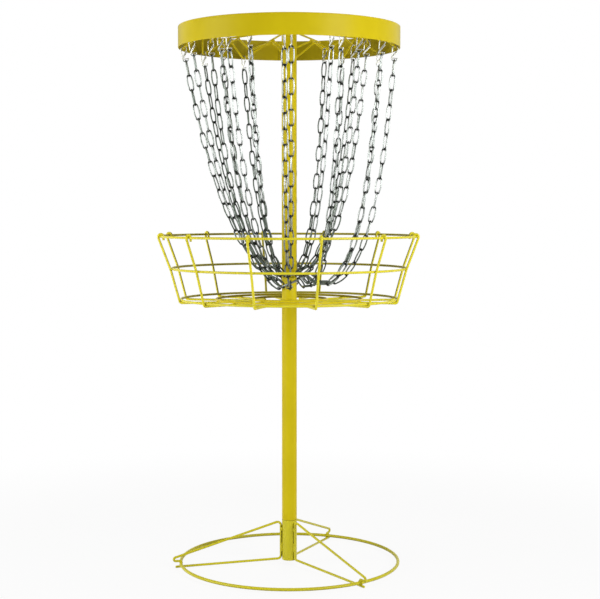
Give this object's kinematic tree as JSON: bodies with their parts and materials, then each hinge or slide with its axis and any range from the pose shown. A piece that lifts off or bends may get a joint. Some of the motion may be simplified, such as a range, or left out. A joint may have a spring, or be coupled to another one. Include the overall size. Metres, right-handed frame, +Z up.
{
  "type": "disc golf basket",
  "caption": "Portable disc golf target: a wire catching basket on a three-piece pole with a ring base, under a banded top rack that hangs two rows of link chains.",
  "frame": {"origin": "on the ground under the pole's centre line", "axes": "+Z up along the pole, -Y towards the front, +X to the right seen from the front"},
  "size_m": [0.6585, 0.6586, 1.364],
  "materials": {
    "powder_coat": "semi-gloss yellow powder coat on steel",
    "zinc_steel": "bright zinc plate on steel wire"
  },
  "bodies": {
    "base": {"base_ring": "powder_coat", "base_leg_1": "powder_coat", "base_leg_2": "powder_coat", "base_leg_3": "powder_coat", "base_sleeve": "powder_coat"},
    "lower_pole": {"lower_pole": "powder_coat"},
    "basket": {"basket_hub": "powder_coat", "basket_rim": "powder_coat", "basket_middle_ring": "powder_coat", "basket_bottom_ring": "powder_coat", "basket_floor_rings": "powder_coat", "basket_wire_01": "powder_coat", "basket_wire_02": "powder_coat", "basket_wire_03": "powder_coat", "basket_wire_04": "powder_coat", "basket_wire_05": "powder_coat", "basket_wire_06": "powder_coat", "basket_wire_07": "powder_coat", "basket_wire_08": "powder_coat", "basket_wire_09": "powder_coat", "basket_wire_10": "powder_coat", "basket_wire_11": "powder_coat", "basket_wire_12": "powder_coat"},
    "top": {"upper_pole": "powder_coat", "band": "powder_coat", "top_spokes": "powder_coat", "outer_hangers": "powder_coat", "inner_hangers": "powder_coat", "outer_collector_ring": "zinc_steel", "inner_collector_ring": "zinc_steel"},
    "outer_chain_01": {"outer_chain_01": "zinc_steel"},
    "outer_chain_02": {"outer_chain_02": "zinc_steel"},
    "outer_chain_03": {"outer_chain_03": "zinc_steel"},
    "outer_chain_04": {"outer_chain_04": "zinc_steel"},
    "outer_chain_05": {"outer_chain_05": "zinc_steel"},
    "outer_chain_06": {"outer_chain_06": "zinc_steel"},
    "outer_chain_07": {"outer_chain_07": "zinc_steel"},
    "outer_chain_08": {"outer_chain_08": "zinc_steel"},
    "outer_chain_09": {"outer_chain_09": "zinc_steel"},
    "outer_chain_10": {"outer_chain_10": "zinc_steel"},
    "outer_chain_11": {"outer_chain_11": "zinc_steel"},
    "outer_chain_12": {"outer_chain_12": "zinc_steel"},
    "inner_chain_01": {"inner_chain_01": "zinc_steel"},
    "inner_chain_02": {"inner_chain_02": "zinc_steel"},
    "inner_chain_03": {"inner_chain_03": "zinc_steel"},
    "inner_chain_04": {"inner_chain_04": "zinc_steel"},
    "inner_chain_05": {"inner_chain_05": "zinc_steel"},
    "inner_chain_06": {"inner_chain_06": "zinc_steel"},
    "inner_chain_07": {"inner_chain_07": "zinc_steel"},
    "inner_chain_08": {"inner_chain_08": "zinc_steel"},
    "inner_chain_09": {"inner_chain_09": "zinc_steel"},
    "inner_chain_10": {"inner_chain_10": "zinc_steel"},
    "inner_chain_11": {"inner_chain_11": "zinc_steel"},
    "inner_chain_12": {"inner_chain_12": "zinc_steel"}
  },
  "joints": [
    {"name": "pole_lift", "type": "slide", "parent": "base", "child": "lower_pole", "axis": [0, 0, 1], "range_m": [0, 0.094]},
    {"name": "basket_lift", "type": "slide", "parent": "lower_pole", "child": "basket", "axis": [0, 0, 1], "range_m": [0, 0.08]},
    {"name": "top_lift", "type": "slide", "parent": "basket", "child": "top", "axis": [0, 0, 1], "range_m": [0, 0.056]},
    {"name": "outer_chain_01_swing", "type": "hinge", "parent": "top", "child": "outer_chain_01", "pos_m": [0.23579, 0.12275, 1.31309], "axis": [0.3101, 0.1774, 0.934], "range_deg": [-10, 10]},
    {"name": "outer_chain_02_swing", "type": "hinge", "parent": "top", "child": "outer_chain_02", "pos_m": [0.14283, 0.2242, 1.31309], "axis": [0.1752, 0.3116, 0.9339], "range_deg": [-10, 10]},
    {"name": "outer_chain_03_swing", "type": "hinge", "parent": "top", "child": "outer_chain_03", "pos_m": [0.01159, 0.26558, 1.31309], "axis": [-0.0082, 0.3588, 0.9334], "range_deg": [-10, 10]},
    {"name": "outer_chain_04_swing", "type": "hinge", "parent": "top", "child": "outer_chain_04", "pos_m": [-0.12275, 0.23579, 1.31309], "axis": [-0.1883, 0.3093, 0.9321], "range_deg": [-10, 10]},
    {"name": "outer_chain_05_swing", "type": "hinge", "parent": "top", "child": "outer_chain_05", "pos_m": [-0.2242, 0.14283, 1.31309], "axis": [-0.3181, 0.1801, 0.9308], "range_deg": [-10, 10]},
    {"name": "outer_chain_06_swing", "type": "hinge", "parent": "top", "child": "outer_chain_06", "pos_m": [-0.26558, 0.01159, 1.31309], "axis": [-0.3669, 0.0066, 0.9303], "range_deg": [-10, 10]},
    {"name": "outer_chain_07_swing", "type": "hinge", "parent": "top", "child": "outer_chain_07", "pos_m": [-0.23579, -0.12275, 1.31309], "axis": [-0.3242, -0.1678, 0.931], "range_deg": [-10, 10]},
    {"name": "outer_chain_08_swing", "type": "hinge", "parent": "top", "child": "outer_chain_08", "pos_m": [-0.14283, -0.2242, 1.31309], "axis": [-0.2001, -0.3002, 0.9327], "range_deg": [-10, 10]},
    {"name": "outer_chain_09_swing", "type": "hinge", "parent": "top", "child": "outer_chain_09", "pos_m": [-0.01159, -0.26558, 1.31309], "axis": [-0.0236, -0.3557, 0.9343], "range_deg": [-10, 10]},
    {"name": "outer_chain_10_swing", "type": "hinge", "parent": "top", "child": "outer_chain_10", "pos_m": [0.12275, -0.23579, 1.31309], "axis": [0.1603, -0.3162, 0.935], "range_deg": [-10, 10]},
    {"name": "outer_chain_11_swing", "type": "hinge", "parent": "top", "child": "outer_chain_11", "pos_m": [0.2242, -0.14283, 1.31309], "axis": [0.3009, -0.1888, 0.9348], "range_deg": [-10, 10]},
    {"name": "outer_chain_12_swing", "type": "hinge", "parent": "top", "child": "outer_chain_12", "pos_m": [0.26558, -0.01159, 1.31309], "axis": [0.3565, -0.0071, 0.9343], "range_deg": [-10, 10]},
    {"name": "inner_chain_01_swing", "type": "hinge", "parent": "top", "child": "inner_chain_01", "pos_m": [0.16783, 0.1027, 1.32612], "axis": [0.2376, 0.1418, 0.961], "range_deg": [-10, 10]},
    {"name": "inner_chain_02_swing", "type": "hinge", "parent": "top", "child": "inner_chain_02", "pos_m": [0.094, 0.17285, 1.32612], "axis": [0.1348, 0.2416, 0.961], "range_deg": [-10, 10]},
    {"name": "inner_chain_03_swing", "type": "hinge", "parent": "top", "child": "inner_chain_03", "pos_m": [-0.00502, 0.19669, 1.32612], "axis": [-0.0041, 0.2767, 0.961], "range_deg": [-10, 10]},
    {"name": "inner_chain_04_swing", "type": "hinge", "parent": "top", "child": "inner_chain_04", "pos_m": [-0.1027, 0.16783, 1.32612], "axis": [-0.1418, 0.2376, 0.961], "range_deg": [-10, 10]},
    {"name": "inner_chain_05_swing", "type": "hinge", "parent": "top", "child": "inner_chain_05", "pos_m": [-0.17285, 0.094, 1.32612], "axis": [-0.2416, 0.1348, 0.961], "range_deg": [-10, 10]},
    {"name": "inner_chain_06_swing", "type": "hinge", "parent": "top", "child": "inner_chain_06", "pos_m": [-0.19669, -0.00502, 1.32612], "axis": [-0.2767, -0.0041, 0.961], "range_deg": [-10, 10]},
    {"name": "inner_chain_07_swing", "type": "hinge", "parent": "top", "child": "inner_chain_07", "pos_m": [-0.16783, -0.1027, 1.32612], "axis": [-0.2376, -0.1418, 0.961], "range_deg": [-10, 10]},
    {"name": "inner_chain_08_swing", "type": "hinge", "parent": "top", "child": "inner_chain_08", "pos_m": [-0.094, -0.17285, 1.32612], "axis": [-0.1348, -0.2416, 0.961], "range_deg": [-10, 10]},
    {"name": "inner_chain_09_swing", "type": "hinge", "parent": "top", "child": "inner_chain_09", "pos_m": [0.00502, -0.19669, 1.32612], "axis": [0.0041, -0.2767, 0.961], "range_deg": [-10, 10]},
    {"name": "inner_chain_10_swing", "type": "hinge", "parent": "top", "child": "inner_chain_10", "pos_m": [0.1027, -0.16783, 1.32612], "axis": [0.1418, -0.2376, 0.961], "range_deg": [-10, 10]},
    {"name": "inner_chain_11_swing", "type": "hinge", "parent": "top", "child": "inner_chain_11", "pos_m": [0.17285, -0.094, 1.32612], "axis": [0.2416, -0.1348, 0.961], "range_deg": [-10, 10]},
    {"name": "inner_chain_12_swing", "type": "hinge", "parent": "top", "child": "inner_chain_12", "pos_m": [0.19669, 0.00502, 1.32612], "axis": [0.2767, 0.0041, 0.961], "range_deg": [-10, 10]}
  ]
}
